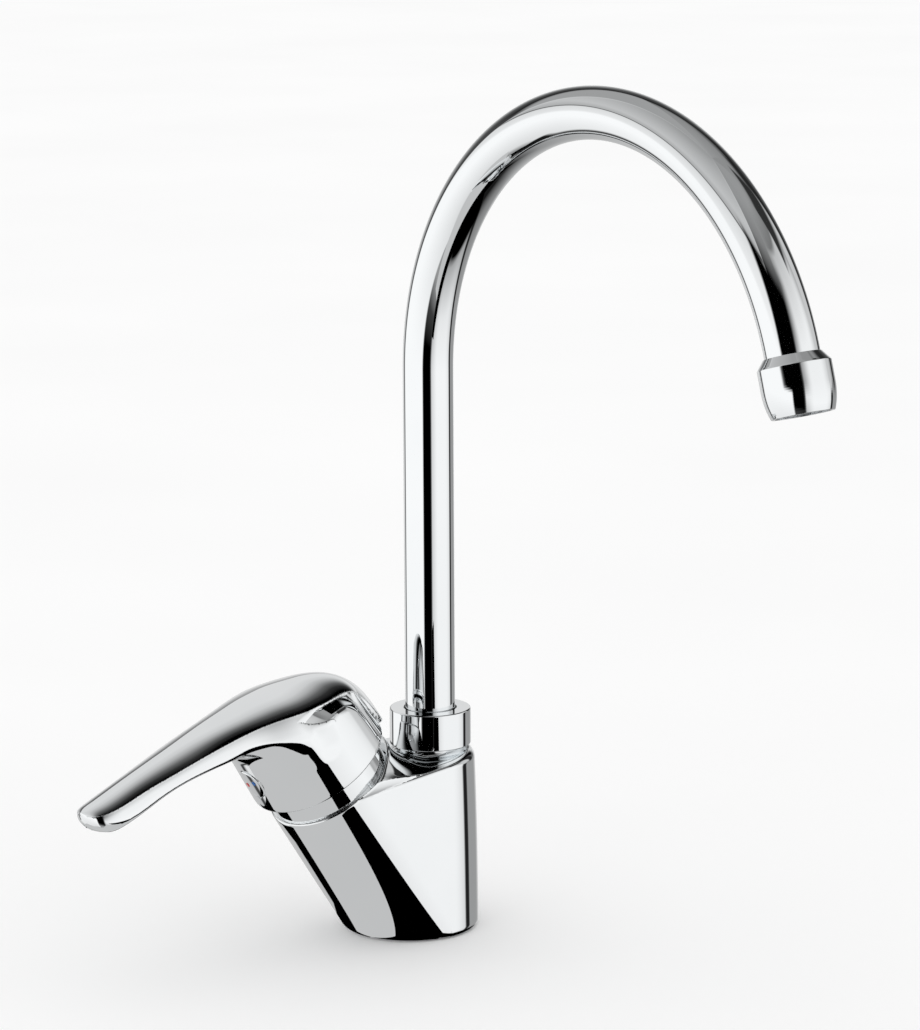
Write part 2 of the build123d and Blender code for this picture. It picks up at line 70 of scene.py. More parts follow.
def both(p, q, r):
    """Inside of p and q, with the edge rounded to radius r."""
    u, v = np.maximum(p + r, 0.0), np.maximum(q + r, 0.0)
    return np.minimum(np.maximum(p, q), -r) + np.hypot(u, v)


def either(p, q, r):
    """Inside of p or q, with a fillet of radius r."""
    u, v = np.maximum(r - p, 0.0), np.maximum(r - q, 0.0)
    return np.maximum(np.minimum(p, q), r) - np.hypot(u, v)


def ellipse(u, v, ru, rv):
    gu, gv = u / (ru * ru), v / (rv * rv)
    f = np.sqrt((u / ru) ** 2 + (v / rv) ** 2) + 1e-9
    g = np.hypot(gu, gv) + 1e-9
    return (f - 1.0) * f / g, gu / g, gv / g


def spline(knots, values):
    """Natural cubic spline through values at knots; returns a function that gives value, slope and bend."""
    k, y = np.asarray(knots, float), np.asarray(values, float)
    n = len(k)
    h = np.diff(k)
    A = np.zeros((n, n))
    rhs = np.zeros(n)
    A[0, 0] = A[-1, -1] = 1.0
    for i in range(1, n - 1):
        A[i, i - 1], A[i, i], A[i, i + 1] = h[i - 1], 2.0 * (h[i - 1] + h[i]), h[i]
        rhs[i] = 6.0 * ((y[i + 1] - y[i]) / h[i] - (y[i] - y[i - 1]) / h[i - 1])
    m = np.linalg.solve(A, rhs)

    def at(s):
        s = np.asarray(s, float)
        i = np.clip(np.searchsorted(k, s) - 1, 0, n - 2)
        t = np.clip(s, k[0], k[-1]) - k[i]
        hi = h[i]
        c1 = (y[i + 1] - y[i]) / hi - hi * (2.0 * m[i] + m[i + 1]) / 6.0
        c3 = (m[i + 1] - m[i]) / (6.0 * hi)
        return y[i] + t * (c1 + t * (m[i] / 2.0 + t * c3)), c1 + t * (m[i] + 3.0 * t * c3), m[i] + 6.0 * t * c3

    return at


# ---------------------------------------------------------------- mixer body
REAR_R = 25.7
FLOOR_Z0, FLOOR_SLOPE = 63.5, 0.12


def side_half(z):
    return 24.62 - 1.45 * np.clip(z / RIM_Z, 0.0, 1.25)


def body_outer(P):
    x, y, z = P.T
    Q = to_axis(P)
    b, a = Q[:, 1], Q[:, 2]
    w = side_half(z)
    rc = 24.62 - 0.72 * (np.clip(z - 20.0, 0.0, None) / 38.0) ** 2
    d_bar, n1x, n1b = ellipse(x, b, w, np.where(b > 0, 23.17, REAR_R))
    d_col, ncx, ncy = ellipse(x, y, w, rc)
    flat = np.abs(x) - w
    rear, front = y > 0, (b > 0) & (y <= 0)
    hull = np.where(rear, d_col, np.where(front, d_bar, flat))
    hx = np.where(rear, ncx, np.where(front, n1x, np.sign(x)))
    hb = np.where(rear, -CT * ncy, np.where(front, n1b, 0.0))
    top = (z - FLOOR_Z0 - FLOOR_SLOPE * y) / math.sqrt(1 + FLOOR_SLOPE ** 2)
    r = 1.3 + 2.0 * step(y / 20.0)
    u, v = np.maximum(hull + r, 0.0), np.maximum(top + r, 0.0)
    uv = np.hypot(u, v) + 1e-9
    lower = np.minimum(np.maximum(hull, top), -r) + uv
    # share of the top face in the lower body's normal
    wt = np.where(uv > 1e-6, v / uv, (top > hull) * 1.0)
    wh = np.where(uv > 1e-6, u / uv, (top <= hull) * 1.0)
    tb = (FLOOR_SLOPE * CT - ST) / math.sqrt(1 + FLOOR_SLOPE ** 2)
    dot = n1x * wh * hx + n1b * (wh * hb + wt * tb)
    k = 9.0 * np.clip((1.0 - dot) / 0.5, 0.0, 1.0) ** 1.5 + 1e-6
    f = either(np.maximum(d_bar, y + 4.0), lower, k)
    f = both(f, a, 1.1)
    neck = both(np.hypot(x, y - RISER_Y) - 12.9, z - 76.0, 0.4)
    f = either(f, neck, 2.2)
    return both(f, -z, 2.4)


def body(P):
    f = body_outer(P)
    x, y, z = P.T
    Q = to_axis(P)
    b, a = Q[:, 1], Q[:, 2]
    ra = np.hypot(x, b)
    rr = np.hypot(x, y - RISER_Y)
    f = both(f, -np.maximum(ra - 20.2 - 0.6 * (a > -0.7), -22.6 - a), 0.3)
    f = both(f, -np.maximum(rr - 12.0, 69.0 - z), 0.3)
    f = both(f, -np.maximum(rr - 10.2, 40.0 - z), 0.3)
    for sx in (-1, 1):
        f = both(f, -np.maximum(np.hypot(x - 9.0 * sx, y + 10.6) - 4.46, z - 14.0), 0.4)
    f = both(f, -np.maximum(np.hypot(x, y - 12.0) - 3.32, z - 18.0), 0.4)
    rg = np.hypot(x, y)
    f = both(f, -np.maximum(np.abs(rg - 20.2) - 1.4, z - 1.6), 0.2)
    return f


# ---------------------------------------------------------------- handle, in (x, b, a)
# crease of the cap, from under the heel over the head to the tip: b, a, half width, crown, depth
CREASE = [
    (-27.2, -2.0, 6.0, 1.0, 8.0),
    (-26.2, 5.0, 9.5, 2.2, 8.0),
    (-25.0, 11.3, 12.2, 3.5, 8.0),
    (-23.6, 17.6, 13.7, 4.7, 8.0),
    (-22.0, 24.2, 14.2, 4.5, 8.0),
    (-20.1, 28.3, 14.7, 3.75, 8.0),
    (-16.8, 31.2, 15.9, 3.5, 8.0),
    (-10.1, 34.5, 18.0, 3.3, 8.2),
    (0.3, 38.75, 19.2, 2.85, 8.9),
    (6.7, 41.25, 17.9, 2.85, 9.6),
    (15.2, 44.2, 15.4, 2.7, 9.1),
    (28.1, 47.7, 13.1, 3.0, 7.3),
    (41.6, 50.9, 11.6, 3.1, 5.9),
    (52.6, 53.2, 10.3, 3.1, 5.5),
    (62.2, 55.2, 9.2, 2.95, 6.6),
    (72.0, 57.0, 8.6, 2.8, 7.4),
    (78.3, 58.6, 7.4, 2.4, 8.0),
    (81.3, 59.7, 5.6, 1.9, 7.9),
    (83.3, 60.6, 0.0, 1.2, 7.6),
    (88.0, 62.4, -7.0, 1.0, 7.6),
]
_c = np.array(CREASE)
_s = np.concatenate([[0.0], np.cumsum(np.hypot(np.diff(_c[:, 0]), np.diff(_c[:, 1])))])
CB, CA = spline(_s, _c[:, 0]), spline(_s, _c[:, 1])
WW = spline(_s, _c[:, 2] * np.abs(_c[:, 2]))
CROWN, DEPTH = spline(_s, _c[:, 3]), spline(_s, _c[:, 4])
SMAX = _s[-1]
# nearest crease point, looked up on a coarse grid of the side view and then refined
_LB, _LA, _LH = -40.0, -6.0, 1.0
_gb, _ga = np.arange(_LB, 100.0, _LH), np.arange(_LA, 76.0, _LH)
_fs = np.linspace(0, SMAX, 700)
_fb, _fa = CB(_fs)[0], CA(_fs)[0]
_B, _A = np.meshgrid(_gb, _ga, indexing="ij")
_near = np.empty(_B.size)
for _i in range(0, _B.size, 2000):
    _near[_i:_i + 2000] = _fs[np.argmin(
        (_B.ravel()[_i:_i + 2000, None] - _fb) ** 2 + (_A.ravel()[_i:_i + 2000, None] - _fa) ** 2, axis=1)]
_near = _near.reshape(_B.shape)


def along(b, a):
    """Place along the crease and height above it, in the side view."""
    i = np.clip(np.rint((b - _LB) / _LH).astype(int), 0, _near.shape[0] - 1)
    j = np.clip(np.rint((a - _LA) / _LH).astype(int), 0, _near.shape[1] - 1)
    s = _near[i, j]
    for _ in range(4):
        qb, tb, kb = CB(s)
        qa, ta, ka = CA(s)
        eb, ea = b - qb, a - qa
        g = eb * tb + ea * ta
        h = np.maximum(tb * tb + ta * ta - (eb * kb + ea * ka), 0.25)
        s = np.clip(s + np.clip(g / h, -2.0, 2.0), 0.0, SMAX)
    qb, tb, _k = CB(s)
    qa, ta, _k = CA(s)
    t = np.hypot(tb, ta)
    return s, (-(b - qb) * ta + (a - qa) * tb) / t


ARCH, SUNK, ROLL = 7.0, 0.6, 4.0


def handle_outer(Q):
    x, b, a = Q.T
    ax = np.abs(x)
    s, n = along(b, a)
    q, _q1, _q2 = WW(s)
    c, d = CROWN(s)[0], DEPTH(s)[0]
    w = np.sqrt(np.maximum(q, 0.5))
    t = np.minimum(ax / w, 1.4)
    deep = np.maximum(-n, 0.0)
    # cap: crowned top over the crease, with a thin upright edge
    p = 2.0 + 0.8 * step((b + 14.0) / 14.0) * (1.0 - step((b - 18.0) / 26.0))
    f_top = (n - c * (1.0 - t ** p)) / np.sqrt(1.0 + (p * c * t ** (p - 1.0) / w) ** 2)
    back = 8.5 * (1.0 - np.sqrt(np.maximum(1.0 - (np.minimum(deep, 8.2) / 8.4) ** 2, 0.0)))
    q2, dq2, _k = WW(np.minimum(s + back * step((b - 48.0) / 22.0), SMAX))
    f_edge = (x * x - q2) / np.sqrt(4.0 * x * x + dq2 * dq2 + 1e-6)
    cap = both(f_top, f_edge, 0.35)
    cap = np.maximum(cap, -n - 1.4 - 2.6 * step((b + 14.0) / 10.0))
    # flank that leans out below the crease, shared by the arm and the front of the head
    w2 = np.sqrt(np.maximum(q2, 0.0))
    lean = 0.12 + 0.15 * (1.0 - step((b - 13.0) / 26.0))
    flare = 1.2 + lean * deep + 0.05 * np.maximum(6.5 - b, 0.0) ** 2 + 0.04 * np.maximum(26.0 - a, 0.0) ** 2
    q3 = (w2 + flare * np.clip(w2 / 5.0, 0.0, 1.0)) ** 2
    flank = (x * x - q3) / np.sqrt(4.0 * x * x + dq2 * dq2 + 1e-6) / np.sqrt(1.0 + lean * lean)
    # the arm's bottom runs into the head with a hollow
    nose = step((b - 2.0) / 12.0)
    f_bot = np.maximum(-n - d * (1.0 - 0.10 * np.minimum(t, 1.2) ** 2), 4.0 - b)
    head = np.hypot(x, b) - 25.6 - 0.7 * step((-b - 4.0) / 15.0) + 0.04 * np.maximum(a - 10.0, 0.0)
    f = either(f_bot, head, 0.5 + ARCH * nose)
    f = both(f, flank, 1.6 + 0.8 * (1.0 - step((b - 4.0) / 8.0)) + (ROLL - 0.6) * step((b - 5.0) / 9.0) * (1.0 - step((b - 18.0) / 18.0)))
    # strip under the cap; behind a pointed notch it is sunk, so that the cap's edge stands free
    k = 0.5 + 1.16 * step((b + 8.0) / 14.0) + 0.5 * (1.0 - step((b + 18.0) / 7.0))
    u = ax - w2
    strip = (n + k * u - 9.0 * (1.0 - step((b + 24.0) / 8.0))) / np.sqrt(1.0 + k * k)
    notch = np.maximum((b + 3.0 - 5.4 * u) / 5.5, (b - 8.0 + 2.4 * u) / 2.6)
    ledge = both(f, strip + SUNK, 1.2)
    f = np.minimum(ledge, both(both(f, strip, 0.9), -notch, 0.5))
    f = np.maximum(f, n + 0.05)
    f = either(f, cap, 0.25)
    return both(f, 8.3 - a, 0.7)


def handle(Q):
    x, b, a = Q.T
    f = handle_outer(Q)
    r = np.hypot(x, b)
    cav = np.maximum(np.maximum(r - 24.4, (r - 24.4 + (a - 17.0) * (9.4 / 11.0)) / 1.316), a - 28.0)
    f = both(f, -cav, 0.5)
    boss = np.maximum(np.maximum(r - 7.0, 16.0 - a), a - 30.0)
    f = np.minimum(f, boss)
    f = np.maximum(f, -np.maximum(r - 4.03, a - 30.2))
    rs = np.hypot(x, a - 21.0)
    f = np.maximum(f, -np.maximum(rs - 2.5, -b))
    f = np.maximum(f, -np.maximum(rs - 6.1, 24.2 - b))
    return f


# ---------------------------------------------------------------- dual contouring
def gradient(fun, P, e=0.02):
    g = np.empty_like(P)
    for i in range(3):
        d = np.zeros(3)
        d[i] = e
        g[:, i] = fun(P + d) - fun(P - d)
    return g / (np.linalg.norm(g, axis=1, keepdims=True) + 1e-12)


def in_parts(fun, P, size=400000):
    return np.concatenate([fun(P[i:i + size]) for i in range(0, len(P), size)])


def contour(fun, lo, hi, h):
    """Quads on the zero surface of fun in the box, with vertices that keep edges; returns vertices, quads and normals."""
    lo, hi = np.asarray(lo, float), np.asarray(hi, float)
    n = np.ceil((hi - lo) / h).astype(int) + 1
    axes = [lo[i] + h * np.arange(n[i]) for i in range(3)]
    G = np.stack(np.meshgrid(*axes, indexing="ij"), -1).reshape(-1, 3)
    F = in_parts(fun, G).reshape(n)
    inside = F < 0
    ATA = np.zeros((np.prod(n - 1), 6))
    ATB = np.zeros((np.prod(n - 1), 3))
    SUM = np.zeros((np.prod(n - 1), 4))
    cn = n - 1
    quads = []

    def cid(i):
        return (i[:, 0] * cn[1] + i[:, 1]) * cn[2] + i[:, 2]

    for ax in range(3):
        sl0, sl1 = [slice(None)] * 3, [slice(None)] * 3
        sl0[ax], sl1[ax] = slice(0, -1), slice(1, None)
        hit = np.argwhere(inside[tuple(sl0)] != inside[tuple(sl1)])
        o1, o2 = (ax + 1) % 3, (ax + 2) % 3
        ok = (hit[:, o1] > 0) & (hit[:, o1] < n[o1] - 1) & (hit[:, o2] > 0) & (hit[:, o2] < n[o2] - 1)
        hit = hit[ok]
        far = hit.copy()
        far[:, ax] += 1
        p0, p1 = lo + h * hit, lo + h * far
        f0, f1 = F[tuple(hit.T)], F[tuple(far.T)]
        t0, t1 = np.zeros(len(hit)), np.ones(len(hit))
        flip = f0 < 0
        for _ in range(5):
            t = np.clip(t0 + (t1 - t0) * f0 / (f0 - f1 + 1e-30), t0 + 0.05 * (t1 - t0), t1 - 0.05 * (t1 - t0))
            fm = in_parts(fun, p0 + (p1 - p0) * t[:, None])
            same = (fm < 0) == flip
            t0, f0 = np.where(same, t, t0), np.where(same, fm, f0)
            t1, f1 = np.where(same, t1, t), np.where(same, f1, fm)
        t = t0 + (t1 - t0) * f0 / (f0 - f1 + 1e-30)
        p = p0 + (p1 - p0) * t[:, None]
        g = gradient(fun, p)
        rhs = np.sum(g * p, 1)
        ids = []
        for d1, d2 in ((0, 0), (-1, 0), (-1, -1), (0, -1)):
            c = hit.copy()
            c[:, o1] += d1
            c[:, o2] += d2
            k = cid(c)
            ids.append(k)
            np.add.at(ATA, k, np.stack([g[:, 0] ** 2, g[:, 0] * g[:, 1], g[:, 0] * g[:, 2], g[:, 1] ** 2, g[:, 1] * g[:, 2], g[:, 2] ** 2], 1))
            np.add.at(ATB, k, g * rhs[:, None])
            np.add.at(SUM, k, np.concatenate([p, np.ones((len(p), 1))], 1))
        quad = np.stack(ids, 1)
        quad[~flip] = quad[~flip][:, ::-1]
        quads.append(quad)
    quads = np.concatenate(quads)
    used, inv = np.unique(quads, return_inverse=True)
    quads = inv.reshape(quads.shape)
    cnt = SUM[used, 3:]
    mean = SUM[used, :3] / cnt
    A = np.empty((len(used), 3, 3))
    q = ATA[used]
    A[:, 0, 0], A[:, 0, 1], A[:, 0, 2] = q[:, 0], q[:, 1], q[:, 2]
    A[:, 1, 0], A[:, 1, 1], A[:, 1, 2] = q[:, 1], q[:, 3], q[:, 4]
    A[:, 2, 0], A[:, 2, 1], A[:, 2, 2] = q[:, 2], q[:, 4], q[:, 5]
    r = ATB[used] - np.einsum("ijk,ik->ij", A, mean)
    reg = 0.06 * cnt[:, :, None] * np.eye(3)
    v = mean + np.linalg.solve(A + reg, r[..., None])[..., 0]
    cell = np.stack(np.unravel_index(used, cn), 1)
    v = np.clip(v, lo + h * cell, lo + h * (cell + 1))
    # settle on the surface
    for _ in range(2):
        f = in_parts(fun, v)
        g = gradient(fun, v)
        v = v - np.clip(f, -0.3 * h, 0.3 * h)[:, None] * g
    # face corners keep the vertex normal, except along sharp edges
    n = gradient(fun, v)
    c = v[quads]
    g = gradient(fun, (c + 0.3 * (c.mean(1, keepdims=True) - c)).reshape(-1, 3)).reshape(c.shape)
    m = n[quads]
    return v, quads, np.where(np.sum(g * m, 2, keepdims=True) > 0.96, m, g)


# ---------------------------------------------------------------- mesh helpers
def make_mesh(name, verts, faces, normals=None):
    """Object from vertices in millimetres, smooth, with the given normals (of the face corners or of the vertices)."""
    mesh = bpy.data.meshes.new(name)
    mesh.from_pydata((np.asarray(verts) * MM).tolist(), [], [tuple(int(i) for i in f) for f in faces])
    mesh.validate()
    mesh.polygons.foreach_set("use_smooth", np.ones(len(mesh.polygons), bool))
    mesh.update()
    if normals is not None and len(normals) == len(mesh.loops):
        mesh.normals_split_custom_set(normals.tolist())
    elif normals is not None:
        mesh.normals_split_custom_set_from_vertices(np.asarray(normals).tolist())
    obj = bpy.data.objects.new(name, mesh)
    scene.collection.objects.link(obj)
    return obj


def rounded(corners, fine=6):
    """Closed profile from (radius, height, rounding) corners; returns points and outward normals.

    The corners run so that the solid is on the left. Straight runs keep their own normals at both ends."""
    c = np.array([p[:2] for p in corners], float)
    rad = [p[2] for p in corners]
    n = len(c)
    pts, nrm = [], []
    for i in range(n):
        p, q, s = c[i - 1], c[i], c[(i + 1) % n]
        d0, d1 = q - p, s - q
        l0, l1 = np.hypot(*d0), np.hypot(*d1)
        d0, d1 = d0 / l0, d1 / l1
        n0, n1 = np.array([d0[1], -d0[0]]), np.array([d1[1], -d1[0]])
        turn = math.acos(max(-1.0, min(1.0, float(d0 @ d1))))
        if turn < 1e-4:
            pts.append(q)
            nrm.append(n0)
            continue
        r = max(rad[i], 0.06)
        cut = min(r * math.tan(turn / 2), 0.49 * l0, 0.49 * l1)
        r = cut / math.tan(turn / 2)
        left = d0[0] * d1[1] - d0[1] * d1[0] > 0
        a, b = q - d0 * cut, q + d1 * cut
        centre = a + (-n0 if left else n0) * r
        m = max(2, int(fine * turn / 1.57) + 1)
        for k in range(m + 1):
            t = k / m
            u = n0 * math.sin((1 - t) * turn) + n1 * math.sin(t * turn)
            u = u / np.hypot(*u)
            pts.append(centre + (u if left else -u) * r)
            nrm.append(u)
    return np.array(pts), np.array(nrm)


def turned(name, corners, origin, axis, side, steps=192, fine=6):
    """Solid of revolution of a closed (radius, height) profile about an axis."""
    p, nn = rounded(corners, fine)
    axis, side = np.array(axis, float), np.array(side, float)
    other = np.cross(axis, side)
    ang = np.linspace(0, 2 * math.pi, steps, endpoint=False)
    ring = np.cos(ang)[:, None] * side + np.sin(ang)[:, None] * other
    m = len(p)
    v = (np.array(origin) + p[None, :, 0:1] * ring[:, None, :] + p[None, :, 1:2] * axis).reshape(-1, 3)
    nv = (nn[None, :, 0:1] * ring[:, None, :] + nn[None, :, 1:2] * axis).reshape(-1, 3)
    i, j = np.meshgrid(np.arange(steps), np.arange(m), indexing="ij")
    i2, j2 = (i + 1) % steps, (j + 1) % m
    f = np.stack([i * m + j, i2 * m + j, i2 * m + j2, i * m + j2], -1).reshape(-1, 4)
    return make_mesh(name, v, f, nv)


# ---------------------------------------------------------------- chrome pieces
v, f, n = contour(body, (-26.5, -66.0, -1.2), (26.5, 27.5, 78.0), 0.6)
body_obj = make_mesh("mixer_body_cast", v, f, n.reshape(-1, 3))

v, f, n = contour(handle, (-27.5, -30.5, 6.5), (27.5, 88.0, 66.0), 0.47)
turn = np.array([[1, 0, 0], [0, -CT, -ST], [0, -ST, CT]])
handle_obj = make_mesh("handle_lever_cast", from_axis(v), f[:, ::-1], n[:, ::-1].reshape(-1, 3) @ turn)

# bent tube of the spout: riser, swan neck and the short straight inside the aerator
TUBE_R, TUBE_BORE, TUBE_FOOT, RISER_TOP, ARC_R = 9.0, 8.0, 72.4, 203.33, 97.49
SWEEP = math.radians(163.5)
ARC_C = np.array([ARC_R, RISER_Y, RISER_TOP])
TIP = ARC_C + ARC_R * np.array([-math.cos(SWEEP), 0, math.sin(SWEEP)])
TIP_DIR = np.array([math.sin(SWEEP), 0, math.cos(SWEEP)])
path, ways = [], []
for z in np.linspace(TUBE_FOOT, RISER_TOP, 45)[:-1]:
    path.append((0.0, RISER_Y, z))
    ways.append((0.0, 0.0, 1.0))
for t in np.linspace(0, SWEEP, 131):
    path.append(ARC_C + ARC_R * np.array([-math.cos(t), 0, math.sin(t)]))
    ways.append((math.sin(t), 0.0, math.cos(t)))
for d in (2.0, 4.0):
    path.append(TIP + TIP_DIR * d)
    ways.append(TIP_DIR)
path, ways = np.array(path, float), np.array(ways, float)
STEPS = 128
ang = np.linspace(0, 2 * math.pi, STEPS, endpoint=False)
yy = np.array([0.0, 1.0, 0.0])
out = np.cross(yy, ways)
ring = np.cos(ang)[None, :, None] * out[:, None, :] + np.sin(ang)[None, :, None] * yy
rows = len(path)
prof = [("out", i) for i in range(rows)] + [("in", i) for i in range(rows - 1, -1, -1)]
v = np.concatenate([
    (path[:, None, :] + TUBE_R * ring).reshape(-1, 3),
    (path[::-1, None, :] + TUBE_BORE * ring[::-1]).reshape(-1, 3),
])
nv = np.concatenate([ring.reshape(-1, 3), -ring[::-1].reshape(-1, 3)])
m = len(prof)
i, j = np.meshgrid(np.arange(m), np.arange(STEPS), indexing="ij")
i2, j2 = (i + 1) % m, (j + 1) % STEPS
f = np.stack([i * STEPS + j, i2 * STEPS + j, i2 * STEPS + j2, i * STEPS + j2], -1).reshape(-1, 4)
spout_obj = make_mesh("spout_tube_bent", v, f[:, ::-1], nv)

UP, XDIR = (0, 0, 1), (1, 0, 0)
RISER_FOOT = (0, RISER_Y, 0)
collar_obj = turned("spout_collar_turned", [
    (12.95, 66.3, 0.1), (14.67, 66.3, 0.45), (14.67, 79.6, 0.55), (9.5, 79.6, 0.35),
    (9.5, 76.6, 0.1), (12.95, 76.6, 0.1),
], RISER_FOOT, UP, XDIR)

RIM = np.array([0.0, RIM_Y, RIM_Z])
A_DIR = np.array([0.0, -ST, CT])
ring_obj = turned("trim_ring_turned", [
    (20.05, 0.02, 0.1), (21.95, 0.02, 0.12), (21.95, 9.8, 0.6),
    (17.2, 9.8, 0.2), (17.2, 8.2, 0.1), (20.05, 8.2, 0.1),
], RIM, A_DIR, XDIR)

taper = [(12.0 - 1.55 * (k / 12.0) ** 2.2, 9.6 + 9.3 * k / 12.0, 8.0) for k in range(13)]
aer_obj = turned("aerator_housing_turned", [(9.06, 0.0, 0.1), (9.45, 0.0, 0.3), (11.6, 2.75, 0.5), (12.0, 3.3, 0.5)] + taper + [
    (10.3, 19.3, 0.4), (9.2, 19.3, 0.15), (9.2, 17.8, 0.1), (10.2, 17.8, 0.1), (10.2, 3.6, 0.1), (9.06, 3.6, 0.1),
], TIP, TIP_DIR, (0, -1, 0))



def button(name, x0, a0, radius, face, foot, edge):
    """Round button in the head's front: curved like the head, its middle at height face, its foot at height foot."""
    corners = [(0.02, foot, 0.0), (radius, foot, 0.1), (radius, 0.0, edge), (0.02, 0.0, 0.0)]
    p, nn = rounded(corners)
    ang = np.linspace(0, 2 * math.pi, 96, endpoint=False)
    cs, sn = np.cos(ang)[:, None], np.sin(ang)[:, None]
    x, a = x0 + p[None, :, 0] * cs, a0 + p[None, :, 0] * sn
    curve = np.sqrt(face ** 2 - x ** 2)
    b = np.where(p[None, :, 1] > foot + 0.5 * (0.0 - foot), curve + p[None, :, 1] + 0.0 * cs, face + p[None, :, 1])
    tilt = nn[None, :, 1] * x / face
    q = np.stack([x, b, a], -1).reshape(-1, 3)
    g = np.stack([nn[None, :, 0] * cs + tilt, nn[None, :, 1] + 0.0 * cs, nn[None, :, 0] * sn], -1).reshape(-1, 3)
    g = g / np.linalg.norm(g, axis=1, keepdims=True)
    m, k = len(p), len(ang)
    i, j = np.meshgrid(np.arange(k), np.arange(m), indexing="ij")
    i2, j2 = (i + 1) % k, (j + 1) % m
    f = np.stack([i * m + j, i2 * m + j, i2 * m + j2, i * m + j2], -1).reshape(-1, 4)
    return make_mesh(name, from_axis(q), f, g @ turn)


plug_obj = button("index_plug_flush", 0.0, 21.0, 6.02, 25.5, -1.28, 0.5)
hot_obj = button("hot_mark_dot", -3.2, 19.9, 0.85, 25.58, -0.4, 0.06)
cold_obj = button("cold_mark_dot", 2.4, 22.2, 0.85, 25.58, -0.4, 0.06)

for obj, node, rides in (
    (body_obj, "mixer_body", "root"),
    (handle_obj, "handle_lever", "lever"),
    (spout_obj, "spout_tube", "spout"),
    (collar_obj, "spout_collar", "root"),
    (ring_obj, "trim_ring", "root"),
    (aer_obj, "aerator_housing", "spout"),
    (plug_obj, "index_plug", "lever"),
    (hot_obj, "hot_mark", "lever"),
    (cold_obj, "cold_mark", "lever"),
):
    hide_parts(node)
    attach(obj, rides)


# ---------------------------------------------------------------- materials
def shader(name):
    mat = bpy.data.materials.new(name)
    mat.use_nodes = True
    tree = mat.node_tree
    tree.nodes.clear()
    out_node = tree.nodes.new("ShaderNodeOutputMaterial")
    bsdf = tree.nodes.new("ShaderNodeBsdfPrincipled")
    tree.links.new(bsdf.outputs[0], out_node.inputs[0])
    coord = tree.nodes.new("ShaderNodeTexCoord")
    return mat, tree, bsdf, coord


def noise(tree, coord, scale, detail=4.0, rough=0.55):
    tex = tree.nodes.new("ShaderNodeTexNoise")
    tex.inputs["Scale"].default_value = scale
    tex.inputs["Detail"].default_value = detail
    tex.inputs["Roughness"].default_value = rough
    tree.links.new(coord.outputs["Object"], tex.inputs["Vector"])
    return tex


def two_tone(tree, fac, first, second, lo=0.3, hi=0.7):
    ramp = tree.nodes.new("ShaderNodeValToRGB")
    ramp.color_ramp.elements[0].position = lo
    ramp.color_ramp.elements[1].position = hi
    ramp.color_ramp.elements[0].color = (*first, 1)
    ramp.color_ramp.elements[1].color = (*second, 1)
    tree.links.new(fac, ramp.inputs[0])
    return ramp.outputs[0]


def span(tree, fac, lo, hi):
    m = tree.nodes.new("ShaderNodeMapRange")
    m.inputs["To Min"].default_value = lo
    m.inputs["To Max"].default_value = hi
    tree.links.new(fac, m.inputs["Value"])
    return m.outputs["Result"]


def relief(tree, bsdf, height, strength, distance):
    bump = tree.nodes.new("ShaderNodeBump")
    bump.inputs["Strength"].default_value = strength
    bump.inputs["Distance"].default_value = distance
    tree.links.new(height, bump.inputs["Height"])
    tree.links.new(bump.outputs["Normal"], bsdf.inputs["Normal"])


def metal(name, first, second, rough_lo, rough_hi, scale, bump=0.0):
    mat, tree, bsdf, coord = shader(name)
    bsdf.inputs["Metallic"].default_value = 1.0
    big = noise(tree, coord, scale, 3.0)
    fine = noise(tree, coord, scale * 14.0, 5.0, 0.65)
    tree.links.new(two_tone(tree, big.outputs[0], first, second), bsdf.inputs["Base Color"])
    tree.links.new(span(tree, fine.outputs[0], rough_lo, rough_hi), bsdf.inputs["Roughness"])
    if bump:
        relief(tree, bsdf, fine.outputs[0], bump, 0.0004)
    return mat


def dull(name, first, second, rough_lo, rough_hi, scale, bump=0.1, coat=0.0):
    mat, tree, bsdf, coord = shader(name)
    big = noise(tree, coord, scale, 3.0)
    fine = noise(tree, coord, scale * 9.0, 5.0, 0.6)
    tree.links.new(two_tone(tree, big.outputs[0], first, second), bsdf.inputs["Base Color"])
    tree.links.new(span(tree, fine.outputs[0], rough_lo, rough_hi), bsdf.inputs["Roughness"])
    bsdf.inputs["Coat Weight"].default_value = coat
    if bump:
        relief(tree, bsdf, fine.outputs[0], bump, 0.0003)
    return mat


chrome = metal("chrome_plate", (0.89, 0.91, 0.92), (0.92, 0.936, 0.945), 0.012, 0.03, 22.0)
MATERIALS = {
    "chrome": chrome,
    "brass": metal("brass_turned", (0.72, 0.52, 0.23), (0.80, 0.60, 0.30), 0.18, 0.34, 60.0, 0.15),
    "steel": metal("steel_plain", (0.52, 0.53, 0.54), (0.62, 0.63, 0.64), 0.2, 0.36, 80.0, 0.15),
    "rubber": dull("rubber_black", (0.012, 0.012, 0.013), (0.03, 0.03, 0.032), 0.6, 0.85, 120.0, 0.25),
    "plastic_grey": dull("acetal_grey", (0.20, 0.21, 0.22), (0.27, 0.28, 0.29), 0.35, 0.5, 90.0, 0.12),
    "plastic_white": dull("acetal_white", (0.74, 0.74, 0.71), (0.82, 0.82, 0.80), 0.32, 0.46, 90.0, 0.12),
    "ceramic": dull("alumina_ceramic", (0.80, 0.78, 0.73), (0.88, 0.87, 0.83), 0.12, 0.22, 70.0, 0.05),
    "red": dull("enamel_red", (0.60, 0.012, 0.012), (0.74, 0.025, 0.02), 0.16, 0.26, 300.0, 0.04, 0.6),
    "blue": dull("enamel_blue", (0.012, 0.10, 0.36), (0.02, 0.16, 0.48), 0.16, 0.26, 300.0, 0.04, 0.6),
}
for obj in (body_obj, handle_obj, spout_obj, collar_obj, ring_obj, aer_obj, plug_obj):
    obj.data.materials.append(chrome)
hot_obj.data.materials.append(MATERIALS["red"])
cold_obj.data.materials.append(MATERIALS["blue"])
